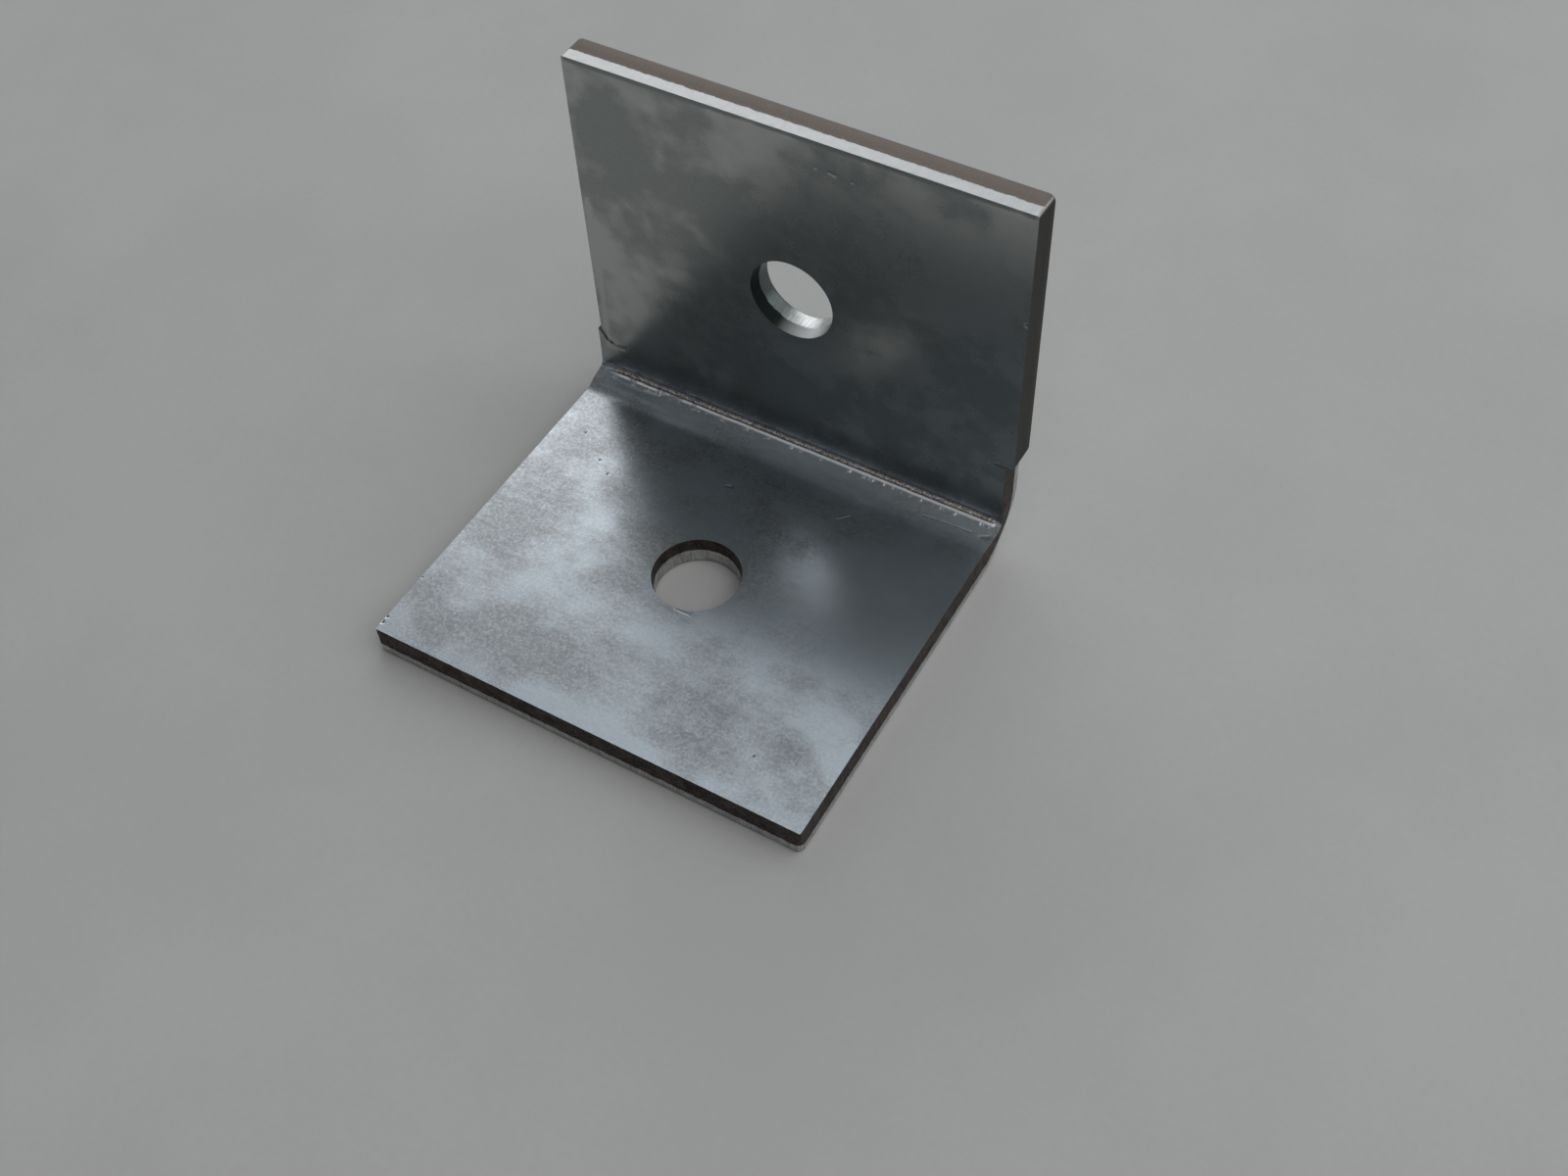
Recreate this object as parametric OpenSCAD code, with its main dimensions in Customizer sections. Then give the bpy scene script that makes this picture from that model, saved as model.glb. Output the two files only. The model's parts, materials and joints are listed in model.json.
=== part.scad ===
// Corner brace bracket: one piece of sheared and punched steel plate, folded to a right angle.
// It stands on its base leg, with the other leg upright behind it. X runs along the fold.
// The origin is on the ground, in the middle of the bracket's footprint.

/* [Plate] */
// Thickness of the plate
plate_t = 3; // [2:0.1:4]
// Width of the base leg, along the fold
base_w = 45; // [30:0.5:60]
// Length of the base leg, from its free edge to the outside of the upright
base_l = 41; // [30:0.5:60]
// Height of the upright leg, from the ground to its free edge
upright_h = 41; // [30:0.5:60]

/* [Fold] */
// Radius of the fold on the inside
fold_r = 3.5; // [2.5:0.1:6]
// Radius of the press tool's nose, which left a crease in the fold
nose_r = 0.9; // [0.6:0.1:1.5]
// Depth of the crease
crease_d = 0.25; // [0.1:0.05:0.4]
// Angle of the crease round the fold, counted down from the upright
crease_angle = 40; // [25:1:65]
// Plain stretch between the crease and the left end of the fold
crease_left_gap = 0.8; // [0.4:0.1:3]
// Plain stretch between the crease and the right end of the fold
crease_right_gap = 0.5; // [0.4:0.1:3]

/* [Punched holes] */
// Diameter of the hole in the base, at its smooth band
base_hole_d = 8.2; // [5:0.1:12]
// Distance of the base hole from the base's free edge
base_hole_in = 19.6; // [14:0.1:22]
// Offset of the base hole to the right of the base's middle
base_hole_x = 0.15; // [-3:0.05:3]
// Diameter of the hole in the upright, at its smooth band
upright_hole_d = 8.2; // [5:0.1:12]
// Distance of the upright hole from the upright's free edge
upright_hole_in = 18.7; // [14:0.1:20]
// Offset of the upright hole to the right of the base's middle
upright_hole_x = 0.3; // [-3:0.05:3]
// Height of the smooth band that the punch cut in each hole
hole_land = 1.4; // [0.6:0.05:1.5]
// Radius of the rim that the punch drew in at the outside face
hole_roll_r = 0.3; // [0.1:0.05:0.4]

/* [Sheared edges] */
// Height of the smooth band along the outer edges
edge_land = 0.75; // [0.4:0.05:1.1]
// Radius drawn in along the outer edges at the outside face
edge_roll_r = 0.35; // [0.2:0.05:0.6]
// Lean of the torn zone, from the smooth band to the inside face
torn_lean = 0.12; // [0.05:0.01:0.3]
// Radius of the free corners, seen square on, along the smooth band
corner_r = 0.7; // [0.6:0.05:2]
// Radius of the free corners at the inside face
torn_corner_r = 0.15; // [0.1:0.05:0.5]

/* [Trim steps] */
// Overhang of the upright past the base on the right
right_step = 0.8; // [0.7:0.05:2]
// Height of the ledge under the overhang, from the ground
right_step_z = 11.55; // [11:0.05:16]
// Radius of the overhang's lower corner
right_step_r = 0.7; // [0.3:0.05:0.7]
// Inset of the upright from the base on the left
left_step = 0.4; // [0.2:0.05:2]
// Height at which the inset starts, from the ground
left_step_z = 8.8; // [8.5:0.05:10]

/* [Hidden] */
$fn = 96;
steel = [0.55, 0.57, 0.58];
// How far the cutters run past the faces that they cut
past = 1;
// Height of the fold's axis above the ground, and its distance from the upright's outside face
fold_axis = plate_t + fold_r;
// Flat length of each leg, from the fold's end to the free edge
base_flat = base_l - fold_axis;
upright_flat = upright_h - fold_axis;
// Sides of the base, and of the upright above both steps
base_left = -base_w / 2;
base_right = base_w / 2;
upright_left = base_left + left_step;
upright_right = base_right + right_step;

// What the shear or punch takes away beside one edge, in cross-section.
// X is the way out of the metal and Y is the depth below the inside face.
// The torn zone comes first, then the smooth band, then the drawn-in rim.
module waste_profile(lean, land, roll_r, reach) {
    torn_h = plate_t - land - roll_r;
    rim_y = plate_t - roll_r;
    polygon([[-lean, -past], [-lean, 0], [0, torn_h], [0, rim_y], [reach, rim_y], [reach, -past]]);
    difference() {
        translate([-roll_r, rim_y]) square([roll_r + reach, roll_r + past]);
        translate([-roll_r, rim_y]) circle(roll_r);
    }
}

// Cross-section of a strip whose two sides are sheared. Y is the distance from the fold's axis.
module strip_profile(left, right) {
    translate([0, fold_r]) difference() {
        translate([left - past / 2, 0]) square([right - left + past, plate_t]);
        translate([right, 0]) waste_profile(torn_lean, edge_land, edge_roll_r, past);
        translate([left, 0]) mirror([1, 0]) waste_profile(torn_lean, edge_land, edge_roll_r, past);
    }
}

// Flat strip below the fold's axis, with its inside face up. It runs along -Y, away from the fold.
module strip(flat, left, right) {
    translate([0, -flat, 0]) rotate([-90, 0, 0]) linear_extrude(flat) strip_profile(left, right);
}

// Cutter for the right side of a leg over part of its length, from one place along Y to another
module side_cut(start, end) {
    translate([0, start, -fold_r]) rotate([-90, 0, 0]) linear_extrude(end - start)
        waste_profile(torn_lean, edge_land, edge_roll_r, left_step + right_step + past);
}

// Cutter for a straight free edge across a leg
module free_edge(left, right) {
    translate([left - past, 0, 0]) rotate([-90, 0, 0]) rotate([0, 90, 0])
        linear_extrude(right - left + 2 * past)
            waste_profile(torn_lean, edge_land, edge_roll_r, 2 * past);
}

// Cutter for a rounded corner. The quarter turn is centred on the corner's own axis.
// The torn zone runs out to a tighter corner at the inside face.
module corner_cut(radius, inner_radius, turn) {
    run_out = sqrt(2) * (radius - torn_lean) - (sqrt(2) - 1) * inner_radius;
    rotate([0, 0, turn]) rotate_extrude(angle = 90) mirror([0, 1]) translate([radius, 0])
        waste_profile(radius - run_out, edge_land, edge_roll_r, radius);
}

// Cutter for a punched hole, square to the leg
module hole(diameter) {
    rotate_extrude() mirror([0, 1]) translate([diameter / 2, 0]) mirror([1, 0])
        waste_profile(torn_lean, hole_land, hole_roll_r, diameter / 2);
}

// Everything that is cut at a leg's free end, and the leg's hole
module leg_cuts(flat, left, right, hole_d, hole_in, hole_x) {
    translate([0, -flat, -fold_r]) {
        free_edge(left, right);
        translate([right - corner_r, corner_r, 0]) corner_cut(corner_r, torn_corner_r, -90);
        translate([left + corner_r, corner_r, 0]) corner_cut(corner_r, torn_corner_r, 180);
        translate([hole_x, hole_in, 0]) hole(hole_d);
    }
}

// Leg that lies on the ground
module base_leg() {
    difference() {
        strip(base_flat + past, base_left, base_right);
        leg_cuts(base_flat, base_left, base_right, base_hole_d, base_hole_in, base_hole_x);
    }
}

// Upright leg, built lying down like the base. A second stroke of the shear cut its upper part,
// a little to the right of the first stroke, and left a step at each side.
module upright_leg() {
    right_step_y = fold_axis - right_step_z;
    left_step_y = fold_axis - left_step_z;
    difference() {
        strip(upright_flat + past, base_left, upright_right);
        translate([base_right, 0, 0]) side_cut(right_step_y, past);
        translate([upright_left, 0, 0]) mirror([1, 0, 0]) side_cut(-upright_flat - 2 * past, left_step_y);
        translate([upright_right - right_step_r, right_step_y - right_step_r, -fold_r])
            corner_cut(right_step_r, torn_corner_r, 0);
        leg_cuts(upright_flat, upright_left, upright_right,
            upright_hole_d, upright_hole_in, upright_hole_x);
    }
}

// The folded stretch, a quarter turn about the X axis
module fold() {
    rotate([0, 90, 0]) rotate_extrude(angle = 90) mirror([1, -1])
        strip_profile(base_left, base_right);
}

// Crease that the press tool's nose left inside the fold
module crease() {
    crease_l = base_w - crease_left_gap - crease_right_gap;
    rotate([-crease_angle, 0, 0]) translate([base_left + crease_left_gap, fold_r + crease_d - nose_r, 0])
        rotate([0, 90, 0]) cylinder(r = nose_r, h = crease_l);
}

module bracket() {
    color(steel)
        translate([-right_step / 2, base_l / 2 - fold_axis, fold_axis]) difference() {
            union() {
                base_leg();
                rotate([90, 0, 0]) mirror([0, 1, 0]) upright_leg();
                fold();
            }
            crease();
        }
}

bracket();
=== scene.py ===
"""Look of a corner brace bracket: one plate of bare steel, sheared, punched and folded to a right angle.

The plate is laid out flat, with its sheared edges and punched holes in section and its marks in
relief. A Geometry Nodes tree then roughens the torn metal, folds the plate round the fold's axis
and presses the crease into the inside of the fold.
"""

import json
import logging
import math
from dataclasses import dataclass, field
from enum import Enum

import bpy
import numpy as np
from mathutils import Matrix, Vector
from mathutils.geometry import delaunay_2d_cdt


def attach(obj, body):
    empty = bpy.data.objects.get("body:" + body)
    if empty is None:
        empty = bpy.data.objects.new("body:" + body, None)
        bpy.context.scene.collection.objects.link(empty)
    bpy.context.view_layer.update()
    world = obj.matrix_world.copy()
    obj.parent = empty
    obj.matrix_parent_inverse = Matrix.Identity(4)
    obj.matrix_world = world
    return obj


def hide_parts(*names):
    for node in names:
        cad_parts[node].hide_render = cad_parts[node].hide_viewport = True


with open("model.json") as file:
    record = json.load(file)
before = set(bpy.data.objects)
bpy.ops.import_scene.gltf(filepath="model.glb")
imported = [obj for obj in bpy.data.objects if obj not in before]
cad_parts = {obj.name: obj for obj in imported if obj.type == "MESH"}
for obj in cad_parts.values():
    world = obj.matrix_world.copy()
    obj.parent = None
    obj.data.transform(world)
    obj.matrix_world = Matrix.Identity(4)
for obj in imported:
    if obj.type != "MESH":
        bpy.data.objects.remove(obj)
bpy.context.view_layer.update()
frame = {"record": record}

LOG = logging.getLogger("bracket")
MM = 0.001
QUARTER = math.pi / 2
# Keeps a division away from nothing
TINY = 1e-9

Socket = bpy.types.NodeSocket
Value = Socket | float | tuple


def place_object(name: str, data: bpy.types.ID) -> bpy.types.Object:
    """Puts a new object in the scene.

    Args:
        name: Name of the object.
        data: Its mesh, light or camera.

    Returns:
        The object.
    """
    made = bpy.data.objects.new(name, data)
    bpy.context.scene.collection.objects.link(made)
    return made


class Leg(Enum):
    """The two legs of the bracket."""

    BASE = "base"
    UPRIGHT = "upright"


class Zone(Enum):
    """Which finish a face of the plate takes."""

    MILL_FACE = 0
    CUT_EDGE = 1


@dataclass(frozen=True)
class PlateSizes:
    """Sizes of the bracket in millimetres, as in the part's source.

    The crease's angle is in degrees and is counted up from the base.
    """

    thickness: float = 3.0
    base_width: float = 45.0
    base_length: float = 41.0
    upright_height: float = 41.0
    fold_radius: float = 3.5
    crease_angle: float = 50.0
    crease_left_gap: float = 0.8
    crease_right_gap: float = 0.5
    hole_land: float = 1.4
    hole_rim: float = 0.3
    edge_land: float = 0.75
    edge_rim: float = 0.35
    torn_lean: float = 0.12
    corner_radius: float = 0.7
    torn_corner_radius: float = 0.15
    right_step: float = 0.8
    right_step_height: float = 11.55
    right_step_radius: float = 0.7
    left_step: float = 0.4
    left_step_height: float = 8.8

    @property
    def fold_axis(self) -> float:
        """Height of the fold's axis above the ground, and its distance from the outside face."""
        return self.thickness + self.fold_radius

    @property
    def fold_length(self) -> float:
        """Length of the fold in the flat plate, along its middle layer."""
        return QUARTER * (self.fold_radius + self.thickness / 2)

    @property
    def base_end(self) -> float:
        """Place of the base's free edge along the flat plate."""
        return self.fold_axis - self.base_length

    @property
    def upright_end(self) -> float:
        """Place of the upright's free edge along the flat plate."""
        return self.raised(self.upright_height)

    @property
    def ledge(self) -> float:
        """Place along the flat plate of the ledge under the right step."""
        return self.raised(self.right_step_height)

    @property
    def jog(self) -> float:
        """Place along the flat plate where the left step starts."""
        return self.raised(self.left_step_height)

    @property
    def crease_line(self) -> float:
        """Place of the crease along the flat plate."""
        return self.fold_length * self.crease_angle / 90

    @property
    def crease_stretch(self) -> float:
        """Length along the flat plate of one millimetre round the inside of the fold."""
        return self.fold_length / (QUARTER * self.fold_radius)

    @property
    def centre_shift(self) -> float:
        """How far the middle of the base lies to the right of the origin."""
        return -self.right_step / 2

    @property
    def axis_y(self) -> float:
        """Place of the fold's axis along Y, with the origin in the middle of the footprint."""
        return self.base_length / 2 - self.fold_axis

    def raised(self, height: float) -> float:
        """Place along the flat plate of a point of the upright, from its height above the ground."""
        return self.fold_length + height - self.fold_axis

    def along(self, leg: Leg, out: float) -> float:
        """Place along the flat plate of a point on the inside of a leg.

        Args:
            leg: The leg that the point is on.
            out: Its distance from the inside face of the other leg.

        Returns:
            The place along the flat plate, from the start of the fold.
        """
        if leg is Leg.BASE:
            return self.fold_radius - out
        return self.fold_length + out - self.fold_radius


@dataclass(frozen=True)
class CutProfile:
    """Section that a shear or a punch leaves: torn zone, smooth band and drawn-in rim."""

    thickness: float
    lean: float
    land: float
    rim: float
    torn_rows: int = 8
    band_rows: int = 3
    rim_rows: int = 5

    @property
    def torn_height(self) -> float:
        """Depth at which the torn zone ends."""
        return self.thickness - self.land - self.rim

    def depths(self) -> np.ndarray:
        """Depths below the inside face of the rows of points down the edge.

        Returns:
            The depths in order, from the inside face.
        """
        low = self.thickness - self.rim
        torn = np.linspace(0, self.torn_height, self.torn_rows)
        band = np.linspace(self.torn_height, low, self.band_rows + 1)[1:]
        turn = np.linspace(0, QUARTER, self.rim_rows + 1)[1:]
        return np.concatenate([torn, band, low + self.rim * np.sin(turn)])

    def inset(self, depth: float) -> float:
        """How far the edge stands back from the smooth band.

        Args:
            depth: Depth below the inside face.

        Returns:
            The distance.
        """
        if depth < self.torn_height:
            return self.lean * (1 - depth / self.torn_height)
        past = min(max(depth - self.thickness + self.rim, 0.0), self.rim)
        return self.rim - math.sqrt(self.rim**2 - past**2)

    def run_out(self, depth: float) -> float:
        """Share of the torn zone that is left at a depth, from 1 at the inside face to 0."""
        return max(0.0, 1 - depth / self.torn_height)


@dataclass(frozen=True)
class Straight:
    """Straight stretch of an outline, walked with the metal on its left."""

    start: tuple[float, float]
    end: tuple[float, float]
    leans: bool = True
    start_shift: float = 0.0
    end_shift: float = 0.0
    spacing: float = 0.25

    @property
    def steps(self) -> int:
        """Number of steps that the stretch is cut into."""
        return max(2, round(math.dist(self.start, self.end) / self.spacing))

    def outward(self) -> np.ndarray:
        """Way out of the metal.

        Returns:
            A unit vector for each point.
        """
        run = np.subtract(self.end, self.start)
        out = np.array([run[1], -run[0]]) / np.linalg.norm(run)
        return np.tile(out, (self.steps, 1))

    def points(self, profile: CutProfile, depth: float) -> np.ndarray:
        """Points of the stretch at a depth, without its end.

        Args:
            profile: Section of the cut edge.
            depth: Depth below the inside face.

        Returns:
            An array of points across and along the flat plate.
        """
        inset = profile.inset(depth)
        start = np.array(self.start) - [self.start_shift * inset, 0]
        end = np.array(self.end) - [self.end_shift * inset, 0]
        share = np.arange(self.steps)[:, None] / self.steps
        line = start + (end - start) * share
        return line - self.outward() * (inset if self.leans else 0.0)


@dataclass(frozen=True)
class Corner:
    """Quarter round of an outline, which runs out to a tighter corner at the inside face."""

    centre: tuple[float, float]
    radius: float
    start: float
    inner_radius: float
    start_leans: bool = True
    steps: int = 10

    def turns(self) -> np.ndarray:
        """Angles of the points, from the start of the corner."""
        return QUARTER * np.arange(self.steps) / self.steps

    def outward(self) -> np.ndarray:
        """Way out of the metal at each point, as an array of unit vectors."""
        turns = np.radians(self.start) + self.turns()
        return np.column_stack([np.cos(turns), np.sin(turns)])

    def points(self, profile: CutProfile, depth: float) -> np.ndarray:
        """Points of the corner at a depth, without its end.

        Args:
            profile: Section of the cut edge.
            depth: Depth below the inside face.

        Returns:
            An array of points across and along the flat plate.
        """
        inset = profile.inset(depth)
        root = math.sqrt(2)
        inner = root * (self.radius - profile.lean) - (root - 1) * self.inner_radius
        cone = self.radius - inset + (inner - self.radius + profile.lean) * profile.run_out(depth)
        first = self.radius - (inset if self.start_leans else 0.0)
        to_start = first / np.maximum(np.cos(self.turns()), TINY)
        to_end = (self.radius - inset) / np.maximum(np.sin(self.turns()), TINY)
        reach = np.minimum(np.minimum(to_start, to_end), cone)
        return np.array(self.centre) + self.outward() * reach[:, None]


@dataclass(frozen=True)
class Hole:
    """Punched hole, walked clockwise so that the metal stays on the left."""

    centre: tuple[float, float]
    radius: float
    steps: int = 128

    def outward(self) -> np.ndarray:
        """Way out of the metal at each point, towards the middle of the hole."""
        turn = -2 * math.pi * np.arange(self.steps) / self.steps
        return -np.column_stack([np.cos(turn), np.sin(turn)])

    def points(self, profile: CutProfile, depth: float) -> np.ndarray:
        """Points round the hole at a depth below the inside face."""
        reach = self.radius + profile.inset(depth)
        return np.array(self.centre) - self.outward() * reach


@dataclass(frozen=True)
class Mark:
    """Scratch, pit, nick or imprint on the inside of the plate, along a short line.

    Its rings and their spacing are counted in widths of the mark.
    """

    leg: Leg
    line: tuple[tuple[float, float], ...]
    width: float
    depth: float
    tone: float = 0.0
    rings: tuple = (0.0, 0.5, 1.0, 1.6)
    ring_steps: int = 8
    spacing: float = 1.2
    steepness: float = 1.5

    def path(self, sizes: PlateSizes) -> np.ndarray:
        """The mark's line across and along the flat plate."""
        return np.array([[x, sizes.along(self.leg, out)] for x, out in self.line])

    def near(self, sizes: PlateSizes) -> np.ndarray:
        """Extra points that let the mesh follow the mark.

        Args:
            sizes: Sizes of the plate.

        Returns:
            An array of points across and along the flat plate.
        """
        path = self.path(sizes)
        if len(path) == 1:
            turn = np.linspace(0, 2 * math.pi, self.ring_steps + 1)[:-1]
            circle = np.column_stack([np.cos(turn), np.sin(turn)])
            return np.concatenate([path] + [path + circle * r * self.width for r in self.rings[1:]])
        found = []
        for start, end in zip(path[:-1], path[1:]):
            run = end - start
            length = np.linalg.norm(run)
            side = np.array([-run[1], run[0]]) / length
            share = np.linspace(0, 1, max(2, int(length / (self.spacing * self.width)) + 1))
            middle = start + run * share[:, None]
            found += [middle + side * s * r * self.width for r in self.rings for s in (-1, 1)]
        return np.concatenate(found)

    def strength(self, sizes: PlateSizes, points: np.ndarray) -> np.ndarray:
        """How strongly the mark shows at each point, from 0 to 1.

        Args:
            sizes: Sizes of the plate.
            points: Points across and along the flat plate.

        Returns:
            One value for each point.
        """
        path = self.path(sizes)
        nearest = np.full(len(points), np.inf)
        for start, end in zip(path, path[1:] if len(path) > 1 else path):
            run = end - start
            share = np.clip(((points - start) @ run) / max(run @ run, TINY), 0, 1)
            nearest = np.minimum(nearest, np.linalg.norm(points - start - share[:, None] * run, axis=1))
        return np.clip(1 - (nearest / self.width) ** 2, 0, 1) ** self.steepness


@dataclass(frozen=True)
class Patch:
    """Soft pale or brown patch of the rolled steel. A positive tone is pale and a negative one brown."""

    leg: Leg
    place: tuple[float, float]
    reach: tuple[float, float]
    tone: float

    def amount(self, sizes: PlateSizes, points: np.ndarray) -> np.ndarray:
        """Tone that the patch adds at each point.

        Args:
            sizes: Sizes of the plate.
            points: Points across and along the flat plate.

        Returns:
            One value for each point.
        """
        middle = np.array([self.place[0], sizes.along(self.leg, self.place[1])])
        return self.tone * np.exp(-np.sum(((points - middle) / self.reach) ** 2, axis=1))


@dataclass(frozen=True)
class Noise:
    """Sizes of a noise pattern. Its scale is the number of cells in a millimetre."""

    scale: float
    detail: float
    rough: float
    seed: Value = 0.0


@dataclass(frozen=True)
class Span:
    """Range that a value starts and ends in, and what it becomes there, with soft ends or linear."""

    start: float
    end: float
    low: float = 0.0
    high: float = 1.0
    smooth: bool = True


@dataclass(frozen=True)
class Fade:
    """Straight fade of an array's values, from 0 at its start to 1 at its end."""

    start: float
    end: float

    def at(self, values: np.ndarray) -> np.ndarray:
        """The faded values."""
        return np.clip((values - self.start) / (self.end - self.start), 0, 1)


@dataclass
class Graph:
    """Adds and links nodes in one node tree."""

    tree: bpy.types.NodeTree

    def feed(self, node: bpy.types.Node, inputs: dict[str | int, Value]) -> None:
        """Gives a node its inputs.

        Args:
            node: The node.
            inputs: Values or sockets for its inputs, by name or number.
        """
        for key, value in inputs.items():
            if isinstance(value, Socket):
                self.tree.links.new(value, node.inputs[key])
            else:
                node.inputs[key].default_value = value

    def node(self, kind: str, inputs: dict[str | int, Value] | None = None,
             **settings: object) -> bpy.types.Node:
        """Adds a node.

        Args:
            kind: Blender's name for the type of node.
            inputs: Values or sockets for its inputs, by name or number.
            settings: Values for its own settings.

        Returns:
            The new node.
        """
        made = self.tree.nodes.new(kind)
        for name, value in settings.items():
            setattr(made, name, value)
        self.feed(made, inputs or {})
        return made

    def math(self, operation: str, *values: Value) -> Socket:
        """Result of a Math node."""
        return self.node("ShaderNodeMath", dict(enumerate(values)), operation=operation).outputs[0]

    def vector(self, operation: str, *values: Value) -> Socket:
        """Result of a Vector Math node."""
        return self.node("ShaderNodeVectorMath", dict(enumerate(values)), operation=operation).outputs[0]

    def scaled(self, vector: Value, factor: Value) -> Socket:
        """A vector times a number."""
        made = self.node("ShaderNodeVectorMath", {0: vector, "Scale": factor}, operation="SCALE")
        return made.outputs[0]

    def combine(self, x: Value, y: Value, z: Value) -> Socket:
        """A vector from its three parts."""
        return self.node("ShaderNodeCombineXYZ", {0: x, 1: y, 2: z}).outputs[0]

    def split(self, vector: Socket) -> tuple[Socket, Socket, Socket]:
        """The three parts of a vector."""
        return tuple(self.node("ShaderNodeSeparateXYZ", {0: vector}).outputs)

    def remap(self, value: Value, span: Span) -> Socket:
        """A value moved along a span.

        Args:
            value: The value.
            span: Where it starts and ends, before and after.

        Returns:
            The moved value, which stays within the span.
        """
        inputs = {"Value": value, "From Min": span.start, "From Max": span.end,
                  "To Min": span.low, "To Max": span.high}
        kind = "SMOOTHSTEP" if span.smooth else "LINEAR"
        return self.node("ShaderNodeMapRange", inputs, interpolation_type=kind).outputs[0]

    def noise(self, vector: Socket, noise: Noise) -> Socket:
        """A noise pattern from 0 to 1.

        Args:
            vector: Where the pattern is read.
            noise: The pattern's sizes.

        Returns:
            The pattern's value.
        """
        inputs = {"Vector": vector, "W": noise.seed, "Scale": noise.scale,
                  "Detail": noise.detail, "Roughness": noise.rough}
        return self.node("ShaderNodeTexNoise", inputs, noise_dimensions="4D").outputs[0]

    def centred(self, value: Socket) -> Socket:
        """A pattern from 0 to 1, moved so that its middle is 0."""
        return self.math("SUBTRACT", value, 0.5)

    def mix(self, factor: Value, first: Value, second: Value, blend: str = "MIX") -> Socket:
        """Two colours mixed."""
        inputs = {0: factor, 6: first, 7: second}
        return self.node("ShaderNodeMix", inputs, data_type="RGBA", blend_type=blend).outputs[2]

    def bump(self, height: Socket, distance: float, strength: float = 1.0) -> Socket:
        """Normals bent by a height, which is counted in the distance given, in metres."""
        inputs = {"Strength": strength, "Distance": distance, "Height": height}
        return self.node("ShaderNodeBump", inputs).outputs[0]

    def attribute(self, name: str) -> Socket:
        """A number that the mesh carries, in a material."""
        return self.node("ShaderNodeAttribute", attribute_name=name).outputs["Fac"]

    def named(self, name: str, kind: str = "FLOAT") -> Socket:
        """A number that the mesh carries, in a Geometry Nodes tree."""
        return self.node("GeometryNodeInputNamedAttribute", {"Name": name}, data_type=kind).outputs[0]

    def stored(self, geometry: Socket, name: str, value: Socket) -> Socket:
        """The geometry with a number stored at each point."""
        inputs = {"Geometry": geometry, "Name": name, "Value": value}
        made = self.node("GeometryNodeStoreNamedAttribute", inputs, data_type="FLOAT", domain="POINT")
        return made.outputs[0]

    def millimetres(self, stretch: float = 1.0) -> Socket:
        """Object coordinates in millimetres. A pattern read there is longer along X by the stretch."""
        where = self.node("ShaderNodeTexCoord").outputs["Object"]
        return self.vector("MULTIPLY", where, (1 / (MM * stretch), 1 / MM, 1 / MM))


class Finish:
    """Base of the finishes: a material with one Principled shader, whose patterns a method adds."""

    name: str

    def paint(self, graph: Graph, shader: bpy.types.Node) -> None:
        """Adds the finish's patterns to the shader."""
        raise NotImplementedError

    def material(self) -> bpy.types.Material:
        """Makes the material.

        Returns:
            The finished material.
        """
        made = bpy.data.materials.new(self.name)
        made.use_nodes = True
        shader = made.node_tree.nodes["Principled BSDF"]
        self.paint(Graph(made.node_tree), shader)
        return made


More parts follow.
